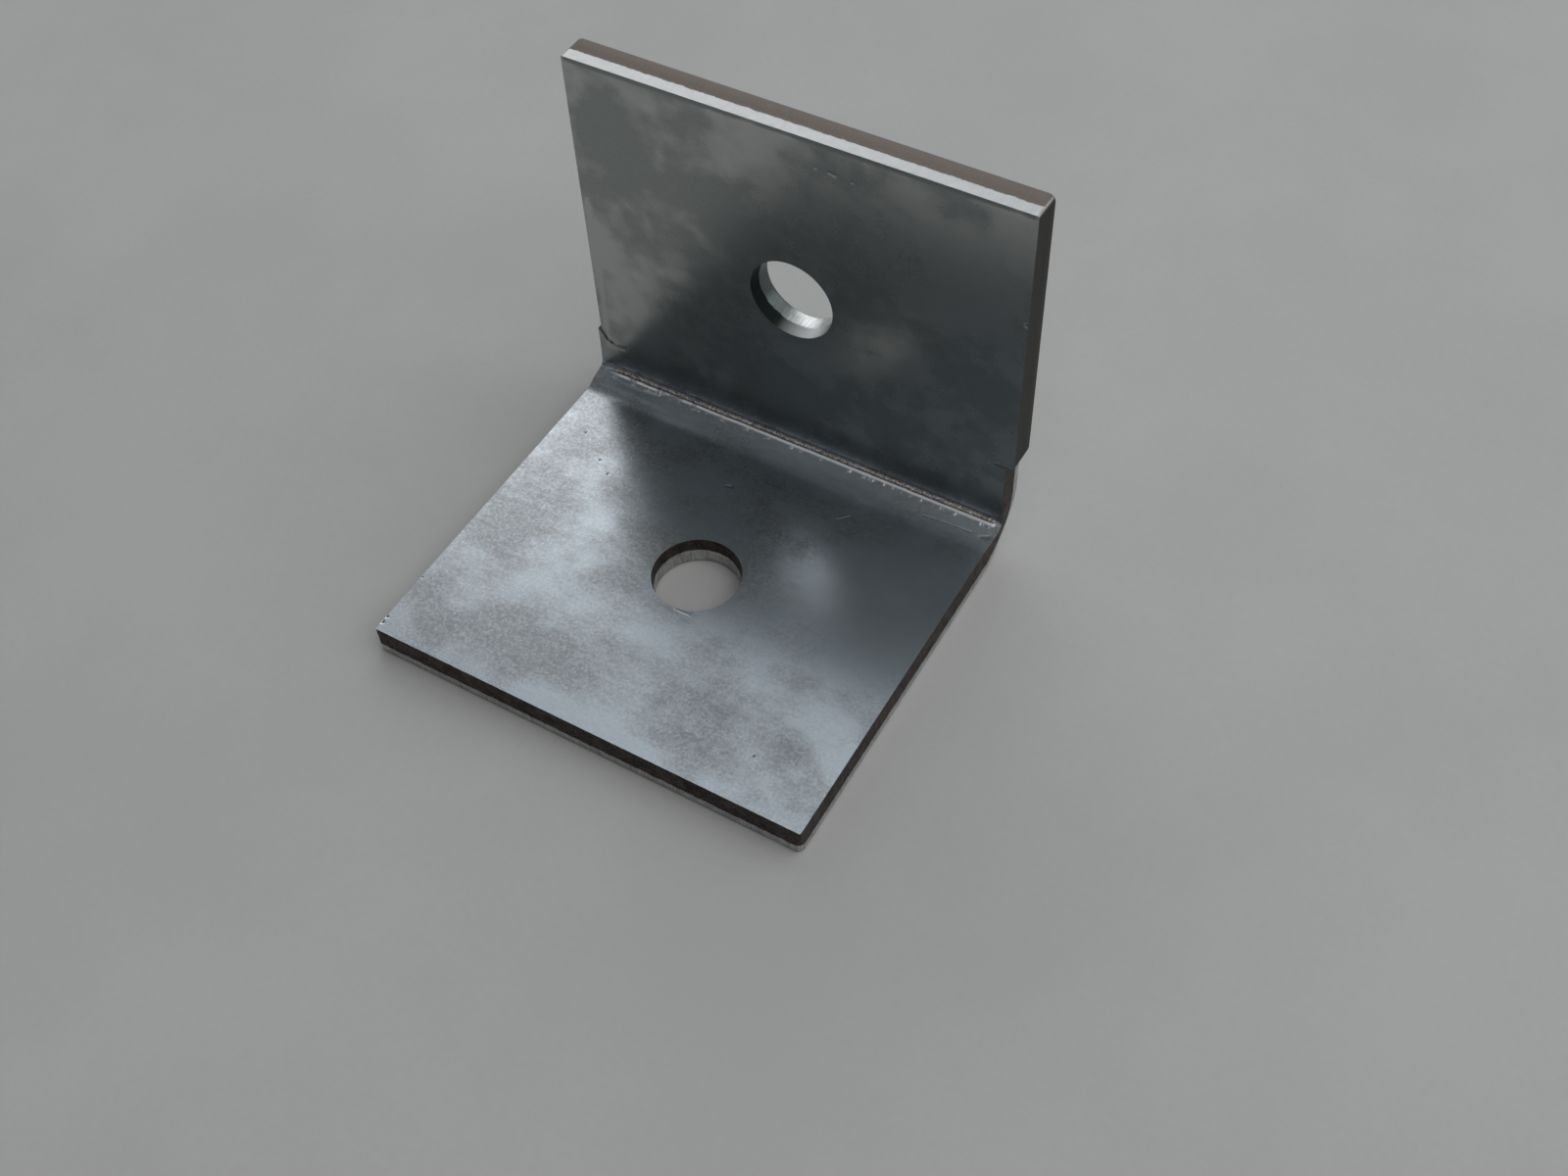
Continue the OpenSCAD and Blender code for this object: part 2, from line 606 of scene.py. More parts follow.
@dataclass(frozen=True)
class MillSteel(Finish):
    """Bare rolled steel: cloudy blue-white and brown-grey patches, with a fine sparkling grain."""

    name: str = "mill_steel"
    pale: tuple = (0.555, 0.605, 0.645, 1)
    brown: tuple = (0.35, 0.364, 0.378, 1)
    upright_pale: tuple = (0.585, 0.588, 0.572, 1)
    upright_dark: tuple = (0.238, 0.262, 0.257, 1)
    coined: tuple = (0.86, 0.81, 0.765, 1)
    coined_dark: tuple = (0.16, 0.14, 0.125, 1)
    # Near-white colour of the crease's bright line: a real burnished line, made near white to paint its
    # glint.
    burnish_glint: tuple = (0.97, 0.97, 0.97, 1)
    # Near-black colour: it paints the shadow line in the crease, and it darkens the marks of low tone.
    mark_dark_and_shade: tuple = (0.03, 0.026, 0.024, 1)
    clouds: Noise = Noise(1 / 4.4, 2.0, 0.5, 3.1)
    broad: Noise = Noise(0.3 / 4.4, 2.0, 0.5, 8.4)
    mottle: Noise = Noise(1 / 1.7, 1.0, 0.4, 11.3)
    grain: Noise = Noise(1 / 0.24, 3.0, 0.7, 1.7)
    streaks: Noise = Noise(0.6 / 0.24, 3.0, 0.6, 5.2)
    crushed: Noise = Noise(1 / 0.16, 3.0, 0.75, 7.9)
    cloud_stretch: float = 1.35
    streak_stretch: float = 5.0
    upright_zone: Span = Span(4.3, 7.0)
    broad_share: float = 0.4
    mottle_share: float = 0.5
    cloud_edge: Span = Span(0.5, 0.9)
    sandy_fall: float = -0.75
    grain_edge: Span = Span(0.32, 0.68, smooth=False)
    streak_share: float = 0.8
    grain_share: float = 0.6
    upright_contrast: float = 0.55
    upright_least: float = 0.2
    speckle_share: float = 0.4
    cloud_rough: Span = Span(0.0, 1.0, 0.27, 0.2, False)
    grain_rough: float = 0.06
    crushed_edge: Span = Span(0.4, 0.66)
    # Where the crease's painted shadow darkens the groove, from the negative crease values.
    crease_shade: Span = Span(-0.1, -0.8)
    mark_dark: Span = Span(-0.1, -1.0, smooth=False)
    groove_rough: float = 0.46
    glint_rough: float = 0.5
    mark_dark_rough: float = 0.3
    grain_height: float = 5e-6
    streak_height: float = 2e-6
    chip_height: float = 4.5e-5

    def clouds_and_grain(self, graph: Graph, grain: Socket, streaks: Socket) -> tuple[Socket, Socket]:
        """The rolled surface, without the crease and without dirt.

        Args:
            graph: The material's nodes.
            grain: The fine grain.
            streaks: The streaks of the rolling.

        Returns:
            The colour and the roughness.
        """
        plain = graph.millimetres()
        upright = graph.remap(graph.split(plain)[2], self.upright_zone)
        clouds = graph.noise(graph.millimetres(self.cloud_stretch), self.clouds)
        broad = graph.math("MULTIPLY_ADD", graph.noise(plain, self.broad), self.broad_share, clouds)
        level = graph.math("ADD", graph.math("ADD", broad, graph.attribute("patch")), graph.attribute("tone"))
        mottle = graph.centred(graph.noise(plain, self.mottle))
        mottle = graph.math("MULTIPLY", mottle, upright)
        level = graph.math("MULTIPLY_ADD", mottle, self.mottle_share, level)
        blotch = graph.remap(level, self.cloud_edge)
        sandy = graph.math("MULTIPLY", graph.math("MULTIPLY_ADD", blotch, self.sandy_fall, 1.0),
                           graph.math("MULTIPLY_ADD", upright, self.sandy_fall, 1.0))
        stipple = graph.centred(graph.remap(grain, self.grain_edge))
        stipple = graph.math("MULTIPLY_ADD", graph.centred(streaks), self.streak_share, stipple)
        cloudy = graph.math("MULTIPLY_ADD", stipple, graph.math("MULTIPLY", sandy, self.grain_share), blotch)
        cloudy = graph.node("ShaderNodeClamp", {0: cloudy}).outputs[0]
        softened = graph.math("MULTIPLY_ADD", cloudy, self.upright_contrast, self.upright_least)
        colour = graph.mix(upright, graph.mix(cloudy, self.brown, self.pale),
                           graph.mix(softened, self.upright_dark, self.upright_pale))
        speckle = graph.math("MULTIPLY_ADD", graph.math("MULTIPLY", stipple, sandy), self.speckle_share, 1.0)
        colour = graph.mix(1.0, colour, speckle, "MULTIPLY")
        rough = graph.math("MULTIPLY_ADD", grain, self.grain_rough, graph.remap(cloudy, self.cloud_rough))
        return colour, rough

    def paint(self, graph: Graph, shader: bpy.types.Node) -> None:
        """Adds the clouds, grain and streaks, the crushed metal of the crease, the painted glint and shadow
        lines of the crease, and the darkening of low-toned marks.

        Args:
            graph: The material's nodes.
            shader: Its Principled shader.
        """
        plain = graph.millimetres()
        grain = graph.noise(plain, self.grain)
        streaks = graph.noise(graph.millimetres(self.streak_stretch), self.streaks)
        crushed = graph.noise(plain, self.crushed)
        coined, glint_and_shade = graph.attribute("coined"), graph.attribute("glint_and_shade")
        colour, rough = self.clouds_and_grain(graph, grain, streaks)
        groove = graph.mix(graph.remap(crushed, self.crushed_edge), self.coined_dark, self.coined)
        # Negative crease values paint the shadow line near black; positive ones paint the bright line's glint
        # near white, with a rougher finish.
        groove = graph.mix(graph.remap(glint_and_shade, self.crease_shade), groove, self.mark_dark_and_shade)
        groove = graph.mix(glint_and_shade, groove, self.burnish_glint)
        shine = graph.math("MAXIMUM", glint_and_shade, 0.0)
        groove_rough = graph.math("MULTIPLY_ADD", shine, self.glint_rough, self.groove_rough)
        rough = graph.node("ShaderNodeMix", {0: coined, 2: rough, 3: groove_rough}).outputs[0]
        # Marks of low tone are darkened towards the near-black colour.
        mark_dark = graph.remap(graph.attribute("tone"), self.mark_dark)
        height = graph.math("MULTIPLY_ADD", streaks, self.streak_height / self.grain_height, grain)
        chips = graph.math("MULTIPLY", coined, crushed)
        height = graph.math("MULTIPLY_ADD", chips, self.chip_height / self.grain_height, height)
        graph.feed(shader, {
            "Base Color": graph.mix(mark_dark, graph.mix(coined, colour, groove), self.mark_dark_and_shade),
            "Roughness": graph.math("MULTIPLY_ADD", mark_dark, self.mark_dark_rough, rough),
            "Normal": graph.bump(height, self.grain_height),
            "Metallic": 1.0})


@dataclass(frozen=True)
class CutSteel(Finish):
    """Sheared and punched edges: dark torn metal beside the inside face, then a smooth scored band."""

    name: str = "cut_steel"
    torn: tuple = (0.13, 0.11, 0.1, 1)
    upright_torn: tuple = (0.1, 0.104, 0.096, 1)
    left_wall_torn: tuple = (0.012, 0.018, 0.018, 1)
    torn_dark: tuple = (0.03, 0.024, 0.022, 1)
    torn_top: tuple = (0.25, 0.215, 0.19, 1)
    top_band: tuple = (0.48, 0.49, 0.49, 1)
    stain: tuple = (0.075, 0.095, 0.095, 1)
    band: tuple = (0.6, 0.61, 0.595, 1)
    band_dark: tuple = (0.26, 0.265, 0.25, 1)
    # Near-white colour that paints a highlight on the upward-facing lower wall of the upright's hole.
    bright: tuple = (0.74, 0.76, 0.77, 1)
    scores: Noise = Noise(1 / 0.12, 3.0, 0.7, 2.3)
    waver: Noise = Noise(0.9, 4.0, 0.65, 6.6)
    grain: Noise = Noise(1 / 0.14, 4.0, 0.65, 4.4)
    coarse: Noise = Noise(1.1, 3.0, 0.6, 9.2)
    score_stretch: float = 0.06
    ragged: float = 0.48
    grain_ragged: float = 0.25
    border: Span = Span(-0.05, 0.05)
    torn_coarse: float = 0.5
    torn_spots: Span = Span(0.55, 0.95)
    band_coarse: float = 0.4
    band_spots: Span = Span(0.5, 0.85)
    upright_zone: Span = Span(7.0, 13.0)
    top_share: float = 0.9
    shine: Span = Span(0.35, 0.65, 0.35, 1.0)
    torn_rough: float = 0.58
    band_smoother: float = -0.27
    grain_rough: float = 0.1
    torn_height: float = 3e-5
    score_height: float = 5e-6

    def paint(self, graph: Graph, shader: bpy.types.Node) -> None:
        """Adds the torn grain, the ragged border and the scores down the band.

        Args:
            graph: The material's nodes.
            shader: Its Principled shader.
        """
        plain = graph.millimetres()
        along, depth = graph.attribute("along"), graph.attribute("depth")
        edge = graph.combine(along, graph.math("MULTIPLY", depth, self.score_stretch), 0.0)
        scores = graph.noise(edge, self.scores)
        waver = graph.noise(graph.combine(along, 0.0, 0.0), self.waver)
        grain = graph.noise(plain, self.grain)
        coarse = graph.noise(plain, self.coarse)
        swapped, stained = graph.attribute("swapped"), graph.attribute("stained")
        rubbed = graph.attribute("rubbed")
        border = graph.math("MULTIPLY_ADD", graph.centred(waver), self.ragged, depth)
        border = graph.math("MULTIPLY_ADD", graph.centred(grain), self.grain_ragged, border)
        past = graph.math("SUBTRACT", border, graph.attribute("torn_end"))
        smooth = graph.math("ABSOLUTE", graph.math("SUBTRACT", graph.remap(past, self.border), swapped))
        spots = graph.remap(graph.math("MULTIPLY_ADD", coarse, self.torn_coarse, grain), self.torn_spots)
        torn = graph.mix(spots, self.torn_dark, self.torn)
        upright = graph.remap(graph.split(plain)[2], self.upright_zone)
        torn = graph.mix(upright, torn, graph.mix(grain, self.torn_dark, self.upright_torn))
        # Darker torn metal and band on the wall at the left of the upright's hole.
        torn = graph.mix(stained, torn, self.left_wall_torn)
        # Painted highlight on the torn metal of the upright hole's lower wall.
        torn = graph.mix(rubbed, torn, self.bright)
        torn = graph.mix(swapped, torn, graph.mix(grain, self.torn, self.torn_top))
        spots = graph.remap(graph.math("MULTIPLY_ADD", coarse, self.band_coarse, scores), self.band_spots)
        band = graph.mix(spots, self.band_dark, self.band)
        band = graph.mix(graph.math("MULTIPLY", swapped, self.top_share), band, self.top_band)
        band = graph.mix(stained, band, self.stain)
        # The band's painted highlight follows its real scores.
        shine = graph.math("MULTIPLY", rubbed, graph.remap(scores, self.shine))
        band = graph.mix(shine, band, self.bright)
        rough = graph.math("MULTIPLY_ADD", smooth, self.band_smoother, self.torn_rough)
        relief = graph.math("MULTIPLY", grain, graph.math("SUBTRACT", 1.0, smooth))
        scored = graph.math("MULTIPLY", scores, smooth)
        height = graph.math("MULTIPLY_ADD", scored, self.score_height / self.torn_height, relief)
        graph.feed(shader, {
            "Base Color": graph.mix(smooth, torn, band),
            "Roughness": graph.math("MULTIPLY_ADD", grain, self.grain_rough, rough),
            "Normal": graph.bump(height, self.torn_height),
            "Metallic": 1.0})


@dataclass(frozen=True)
class PaleFloor(Finish):
    """Plain pale table top with the faintest mottling."""

    name: str = "pale_floor"
    colour: tuple = (0.45, 0.447, 0.44, 1)
    shade: tuple = (0.42, 0.417, 0.41, 1)
    clouds: Noise = Noise(0.03, 4.0, 0.6, 7.7)
    grain: Noise = Noise(1.4, 2.0, 0.5, 2.2)
    grain_share: float = 0.3
    shaded: Span = Span(0.45, 0.85)
    grain_height: float = 2e-5
    grain_strength: float = 0.4
    rough: float = 0.75
    gleam: float = 0.2

    def paint(self, graph: Graph, shader: bpy.types.Node) -> None:
        """Adds the mottling.

        Args:
            graph: The material's nodes.
            shader: Its Principled shader.
        """
        where = graph.millimetres()
        grain = graph.noise(where, self.grain)
        level = graph.math("MULTIPLY_ADD", grain, self.grain_share, graph.noise(where, self.clouds))
        graph.feed(shader, {
            "Base Color": graph.mix(graph.remap(level, self.shaded), self.shade, self.colour),
            "Normal": graph.bump(grain, self.grain_height, self.grain_strength),
            "Roughness": self.rough,
            "Specular IOR Level": self.gleam})


@dataclass
class MeshParts:
    """Points, faces and point values that are gathered for one mesh."""

    points: list = field(default_factory=list)
    faces: list = field(default_factory=list)
    zones: list = field(default_factory=list)
    values: dict = field(default_factory=dict)
    sharp: set = field(default_factory=set)
    count: int = 0

    def add_points(self, points: np.ndarray, **values: np.ndarray | float) -> np.ndarray:
        """Adds points with their values.

        Args:
            points: Points across, along and below the inside face of the flat plate.
            values: Numbers for each point, by attribute name.

        Returns:
            The numbers of the new points.
        """
        found = np.arange(self.count, self.count + len(points))
        self.points.append(points)
        for name in self.values | values:
            column = self.values.setdefault(name, [np.zeros(self.count)] if self.count else [])
            column.append(np.broadcast_to(np.asarray(values.get(name, 0.0), float), (len(points),)))
        self.count += len(points)
        return found

    def add_faces(self, faces: list, zone: Zone) -> None:
        """Adds faces that take one finish."""
        self.faces += faces
        self.zones += [zone.value] * len(faces)

    def mesh(self, name: str) -> bpy.types.Mesh:
        """Makes the mesh, in metres, with smooth faces and its sharp edges marked.

        Args:
            name: Name of the mesh.

        Returns:
            The new mesh.
        """
        made = bpy.data.meshes.new(name)
        made.from_pydata((np.concatenate(self.points) * [MM, MM, -MM]).tolist(), [], self.faces)
        made.update(calc_edges=True)
        for key, columns in self.values.items():
            layer = made.attributes.new(key, "FLOAT", "POINT")
            layer.data.foreach_set("value", np.concatenate(columns).astype(np.float32))
        layer = made.attributes.new("zone", "INT", "FACE")
        layer.data.foreach_set("value", np.array(self.zones, np.int32))
        made.polygons.foreach_set("use_smooth", np.ones(len(made.polygons), bool))
        ends = np.zeros(len(made.edges) * 2, np.int64)
        made.edges.foreach_get("vertices", ends)
        pairs = np.sort(ends.reshape(-1, 2), axis=1)
        layer = made.attributes.new("sharp_edge", "BOOLEAN", "EDGE")
        layer.data.foreach_set("value", np.array([tuple(p) in self.sharp for p in pairs.tolist()], bool))
        return made


@dataclass(frozen=True)
class EdgeLooks:
    """Where the cut metal looks otherwise than on the other edges.

    Points are across and along the flat plate, and outward is the way out of the metal at each.
    """

    top: float
    ledge: float
    thickness: float
    upright_hole: tuple[float, float]
    hole_reach: float = 6.0
    top_near: Fade = Fade(-0.8, -0.5)
    top_facing: Fade = Fade(1.6 / 3, 2.6 / 3)
    top_border: float = 1.15
    right_facing: float = 0.7
    torn_through: float = 1.3
    rubbed_low: Fade = Fade(0.8 / 2.2, 1.8 / 2.2)
    rubbed_right: Fade = Fade(0.5 / 1.2, -0.5 / 1.2)
    stained_left: Fade = Fade(0.12, 0.52)
    stained_most: float = 0.9

    def swapped(self, points: np.ndarray, outward: np.ndarray) -> np.ndarray:
        """Where the smooth band lies beside the inside face, from 0 to 1: along the top edge."""
        return self.top_near.at(points[:, 1] - self.top) * self.top_facing.at(outward[:, 1])

    def border(self, points: np.ndarray, outward: np.ndarray, depth: float) -> np.ndarray:
        """Depth of the border between the torn zone and the smooth band at each point.

        Args:
            points: Points across and along the flat plate.
            outward: Way out of the metal at each point.
            depth: Depth of the border on the other edges.

        Returns:
            One depth for each point. The upright's right edge is torn right through.
        """
        border = depth + (self.top_border - depth) * self.swapped(points, outward)
        right = (points[:, 0] > 0) & (outward[:, 0] > self.right_facing)
        return np.where(right & (points[:, 1] > self.ledge), self.torn_through * self.thickness, border)

    def in_hole(self, points: np.ndarray) -> np.ndarray:
        """True for each point that is on the wall of the upright's hole."""
        return np.linalg.norm(points - self.upright_hole, axis=1) < self.hole_reach

    def rubbed(self, points: np.ndarray, outward: np.ndarray) -> np.ndarray:
        """Where a highlight is painted on the cut metal, from 0 to 1: low in the upright's hole, on the wall
        that faces up.
        """
        low = self.rubbed_low.at(outward[:, 1]) * self.rubbed_right.at(outward[:, 0])
        return self.in_hole(points) * low

    def stained(self, points: np.ndarray, outward: np.ndarray) -> np.ndarray:
        """How far the cut metal is darkened, from 0 to 1: on the wall at the left of the upright's hole."""
        return self.in_hole(points) * self.stained_left.at(outward[:, 0]) * self.stained_most


@dataclass(frozen=True)
class FoldBulge:
    """How folding pushes the edges out at the inside of the fold and draws them in at its outside."""

    sizes: PlateSizes
    left_out: float = 0.11
    right_out: float = 0.2
    drawn_in: float = 0.2

    def amount(self, points: np.ndarray, outward: np.ndarray, depth: float) -> np.ndarray:
        """Distance that each point of an edge moves along its way out.

        Args:
            points: Points across and along the flat plate.
            outward: Way out of the metal at each point.
            depth: Depth of the points below the inside face.

        Returns:
            One distance for each point.
        """
        share = np.clip(points[:, 1] / self.sizes.fold_length, 0, 1)
        weight = np.sin(math.pi * share) ** 2 * np.abs(outward[:, 0])
        most = np.where(points[:, 0] > 0, self.right_out, self.left_out)
        level = depth / self.sizes.thickness
        return weight * np.where(level < 0.5, most * (1 - 2 * level), -self.drawn_in * (2 * level - 1))


@dataclass
class EdgeLoop:
    """One closed cut edge of the plate, with its rows of points from the inside to the outside face."""

    profile: CutProfile
    stretches: list[Straight | Corner | Hole]
    torn_fall: float = 0.3
    sharp_bend: float = 0.5

    def rows(self) -> list[np.ndarray]:
        """Points of each row, across and along the flat plate."""
        return [np.concatenate([s.points(self.profile, d) for s in self.stretches])
                for d in self.profile.depths()]

    def build(self, parts: MeshParts, looks: EdgeLooks, bulge: FoldBulge) -> tuple[np.ndarray, np.ndarray]:
        """Adds the edge's points and faces.

        Args:
            parts: The mesh in the making.
            looks: Says where the cut metal looks otherwise.
            bulge: Says how the edge moves out or in at the ends of the fold.

        Returns:
            The numbers of the points at the inside face and at the outside face.
        """
        rows = self.rows()
        outward = np.concatenate([s.outward() for s in self.stretches])
        steps = np.linalg.norm(np.roll(rows[-1], -1, axis=0) - rows[-1], axis=1)
        along = np.concatenate([[0], np.cumsum(steps)[:-1]])
        found = []
        for row, depth in zip(rows, self.profile.depths()):
            moved = row + outward * bulge.amount(row, outward, depth)[:, None]
            found.append(parts.add_points(
                np.column_stack([moved, np.full(len(row), depth)]),
                out_x=outward[:, 0],
                out_y=outward[:, 1],
                torn=self.profile.run_out(depth) ** self.torn_fall,
                along=along,
                depth=depth,
                torn_end=looks.border(row, outward, self.profile.torn_height),
                swapped=looks.swapped(row, outward),
                rubbed=looks.rubbed(row, outward),
                stained=looks.stained(row, outward),
                inside=1.0 if depth == 0 else 0.0))
        faces = []
        for upper, lower in zip(found[:-1], found[1:]):
            faces += np.column_stack([upper, lower, np.roll(lower, -1), np.roll(upper, -1)]).tolist()
        parts.add_faces(faces, Zone.CUT_EDGE)
        first = found[0].tolist()
        parts.sharp |= {(min(a, b), max(a, b)) for a, b in zip(first, first[1:] + first[:1])}
        bends = np.sum(outward * np.roll(outward, 1, axis=0), axis=1) < self.sharp_bend
        for i in np.nonzero(bends)[0]:
            parts.sharp |= {(int(a[i]), int(b[i])) for a, b in zip(found[:-1], found[1:])}
        return found[0], found[-1]


@dataclass(frozen=True)
class CreaseWear:
    """Bead, strip, bright line, dark line and chips of the crease. The bright line is a burnished line with a
    painted glint, and the dark line is a painted shadow.

    Places and distances are in millimetres, counted from the crease's line down towards the base.
    The spans of places and distances are in metres, because the tree measures in them.
    """

    waver: Noise = Noise(0.35, 3.0, 0.6)
    waver_reach: float = 0.1
    fray: Noise = Noise(2.4, 3.0, 0.7, 3.0)
    broken: Noise = Noise(0.7, 5.0, 0.7, 9.0)
    broken_share: Span = Span(-0.012, 0.012, 0.42, 0.25, False)
    broken_fade: Span = Span(0.0, 0.08, 0.25)
    left_fade: float = 1.8
    right_fade: float = 0.4
    strip_upper: Span = Span(-0.38 * MM, -0.3 * MM)
    strip_lower: Span = Span(0.0, 0.05 * MM, 1.0, 0.0)
    strip_fray: float = 0.1
    strip_depth: float = 0.02
    bead_at: float = 0.11
    bead_fade: Span = Span(0.0, 0.18 * MM, 1.0, 0.0)
    bead_height: float = 0.08
    chipping: Noise = Noise(1.3, 4.0, 0.7, 14.0)
    chip_share: Span = Span(0.52, 0.6)
    chip_at: float = 0.42
    chip_fade: Span = Span(0.0, 0.2 * MM, 1.0, 0.0)
    chip_fray: float = 0.3
    chip_height: float = 0.03
    chip_coined: float = 0.7
    # The bright line: a burnished line whose near-white colour paints its glint; more of it shows towards the
    # right.
    line_at: float = 0.16
    line_fade: Span = Span(0.07 * MM, 0.15 * MM, 1.0, 0.0)
    # Painted shadow line in the crease, between the strip and the bead.
    dark_at: float = -0.01
    dark_fade: Span = Span(0.03 * MM, 0.08 * MM, 0.75, 0.0)


@dataclass
class FoldTree:
    """Geometry Nodes tree that roughens the torn metal, folds the plate and presses the crease."""

    sizes: PlateSizes
    mill: bpy.types.Material
    cut: bpy.types.Material
    wear: CreaseWear = CreaseWear()
    line_out: float = 0.42
    line_up: float = 0.79
    ramp_slope: float = 0.374
    left_ramp: Span = Span(-0.018, -0.004, 0.72, 1.0)
    land_slope: float = 0.667
    ramp_round: float = 0.55
    land_round: float = 0.1
    first_turn: Span = Span(0.0, 0.15)
    least_run: float = 0.2
    torn_depth: float = 0.07
    torn_grain: float = 0.45
    seed: float = 4.0

    def inputs(self) -> dict[str, float]:
        """Named inputs of the tree, with their values.

        Returns:
            The values by name, in metres and radians.
        """
        s = self.sizes
        half = s.base_width / 2
        return {
            "Fold radius": s.fold_radius * MM,
            "Fold length": s.fold_length * MM,
            "Axis Y": s.axis_y * MM,
            "Axis Z": s.fold_axis * MM,
            "Centre shift": s.centre_shift * MM,
            "Crease angle": math.radians(s.crease_angle),
            "Line distance": self.line_out * MM,
            "Line height": self.line_up * MM,
            "Ramp slope": self.ramp_slope,
            "Ramp round": self.ramp_round * MM,
            "Land slope": self.land_slope,
            "Land round": self.land_round * MM,
            "Thickness": s.thickness * MM,
            "Crease start": (-half + s.crease_left_gap) * MM,
            "Crease end": (half - s.crease_right_gap) * MM,
            "Torn depth": self.torn_depth * MM,
            "Torn grain": self.torn_grain * MM,
            "Seed": self.seed,
        }

    def crease(self, g: Graph, given: dict[str, Socket], x: Socket, turn: Socket) -> tuple[Socket, ...]:
        """Depth of the crease, with the bead and the chips beside it.

        Args:
            g: The tree's nodes.
            given: The tree's named inputs.
            x: Place across the plate.
            turn: Angle round the fold.

        Returns:
            The depth in metres, how far the surface is coined, from 0 to 1, and the crease's painted glint
            and shadow: positive where the bright line's glint is painted, negative where the shadow line is
            painted.
        """
        c = self.wear
        across = g.combine(g.math("DIVIDE", x, MM), given["Seed"], 0.0)
        waver = g.centred(g.noise(across, c.waver))
        fray = g.centred(g.noise(across, c.fray))
        off = g.math("MULTIPLY", g.math("SUBTRACT", given["Crease angle"], turn), given["Fold radius"])
        off = g.math("MULTIPLY_ADD", waver, c.waver_reach * MM, off)
        left = g.remap(g.math("SUBTRACT", x, given["Crease start"]), Span(0.0, c.left_fade * MM))
        right = g.remap(g.math("SUBTRACT", given["Crease end"], x), Span(0.0, c.right_fade * MM))
        inside = g.math("MINIMUM", left, right)
        upper = g.math("MULTIPLY_ADD", fray, c.strip_fray * MM, off)
        strip = g.math("MULTIPLY", g.remap(upper, c.strip_upper), g.remap(off, c.strip_lower))
        bead = g.remap(self.away(g, off, c.bead_at), c.bead_fade)
        frayed = g.math("MULTIPLY_ADD", fray, c.chip_fray * MM, off)
        chipped = g.remap(g.noise(across, c.chipping), c.chip_share)
        chips = g.math("MULTIPLY", g.remap(self.away(g, frayed, c.chip_at), c.chip_fade), chipped)
        sunk = g.math("MULTIPLY", strip, c.strip_depth * MM)
        sunk = g.math("MULTIPLY_ADD", bead, -c.bead_height * MM, sunk)
        sunk = g.math("MULTIPLY_ADD", chips, -c.chip_height * MM, sunk)
        # Painted glint of the bright line, broken along its length.
        line = g.remap(self.away(g, off, c.line_at), c.line_fade)
        coined = g.math("MAXIMUM", g.math("MAXIMUM", strip, line), g.math("MULTIPLY", chips, c.chip_coined))
        broken = g.math("SUBTRACT", g.noise(across, c.broken), g.remap(x, c.broken_share))
        # Painted shadow line between the strip and the bead, taken off the glint value.
        dark = g.remap(self.away(g, off, c.dark_at), c.dark_fade)
        glint_and_shade = g.math("SUBTRACT", g.math("MULTIPLY", line, g.remap(broken, c.broken_fade)), dark)
        return tuple(g.math("MULTIPLY", value, inside) for value in (sunk, coined, glint_and_shade))

    def away(self, g: Graph, off: Socket, middle: float) -> Socket:
        """Distance from a line beside the crease, in metres. The line's place is in millimetres."""
        return g.math("ABSOLUTE", g.math("SUBTRACT", off, middle * MM))

    def facet(self, g: Graph, turn: Socket, reach: Value, slope: Value) -> Socket:
        """Distance from the fold's axis to a flat facet inside the fold.

        Args:
            g: The tree's nodes.
            turn: Angle round the fold.
            reach: Depth of the facet straight below the axis.
            slope: How steeply the facet climbs towards the upright.

        Returns:
            The distance in metres.
        """
        run = g.math("MULTIPLY_ADD", g.math("SINE", turn), slope, g.math("COSINE", turn))
        return g.math("DIVIDE", reach, g.math("MAXIMUM", run, self.least_run))

    def free_bend(self, g: Graph, given: dict[str, Socket], x: Socket, turn: Socket) -> Socket:
        """How far the inside of the fold lies beyond a plain round.

        The upright stays flat down to the narrow land that the press tool's nose left, and the base
        climbs to it on a gentle ramp.

        Args:
            g: The tree's nodes.
            given: The tree's named inputs.
            x: Place across the plate.
            turn: Angle round the fold.

        Returns:
            The distance in metres.
        """
        radius = given["Fold radius"]
        slope = g.math("MULTIPLY", given["Ramp slope"], g.remap(x, self.left_ramp))
        fall = g.math("SUBTRACT", radius, given["Line height"])
        run = g.math("SUBTRACT", radius, given["Line distance"])
        land_reach = g.math("MULTIPLY_ADD", given["Land slope"], run, fall)
        base = self.facet(g, turn, radius, 0.0)
        ramp = self.facet(g, turn, g.math("MULTIPLY_ADD", slope, run, fall), slope)
        land = self.facet(g, turn, land_reach, given["Land slope"])
        upright = g.math("DIVIDE", radius, g.math("MAXIMUM", g.math("SINE", turn), self.least_run))
        inner = g.math("SMOOTH_MIN", base, ramp, given["Ramp round"])
        inner = g.math("SMOOTH_MIN", inner, land, given["Land round"])
        inner = g.math("SMOOTH_MIN", inner, upright, given["Land round"])
        beyond = g.math("MAXIMUM", g.math("SUBTRACT", inner, radius), 0.0)
        return g.math("MULTIPLY", beyond, g.remap(turn, self.first_turn))

    def roughened(self, g: Graph, given: dict[str, Socket], place: Socket) -> tuple[Socket, ...]:
        """Places of the points, with those of the torn metal moved back into it by a noise.

        Args:
            g: The tree's nodes.
            given: The tree's named inputs.
            place: The points' places in the flat plate.

        Returns:
            The three parts of the new places.
        """
        x, y, z = g.split(place)
        finer = g.scaled(place, g.math("DIVIDE", 1.0, given["Torn grain"]))
        grain = g.noise(finer, Noise(1.0, 3.0, 0.6, given["Seed"]))
        back = g.math("MULTIPLY", g.math("MULTIPLY", grain, g.named("torn")), given["Torn depth"])
        x = g.math("SUBTRACT", x, g.math("MULTIPLY", back, g.named("out_x")))
        y = g.math("SUBTRACT", y, g.math("MULTIPLY", back, g.named("out_y")))
        return x, y, z

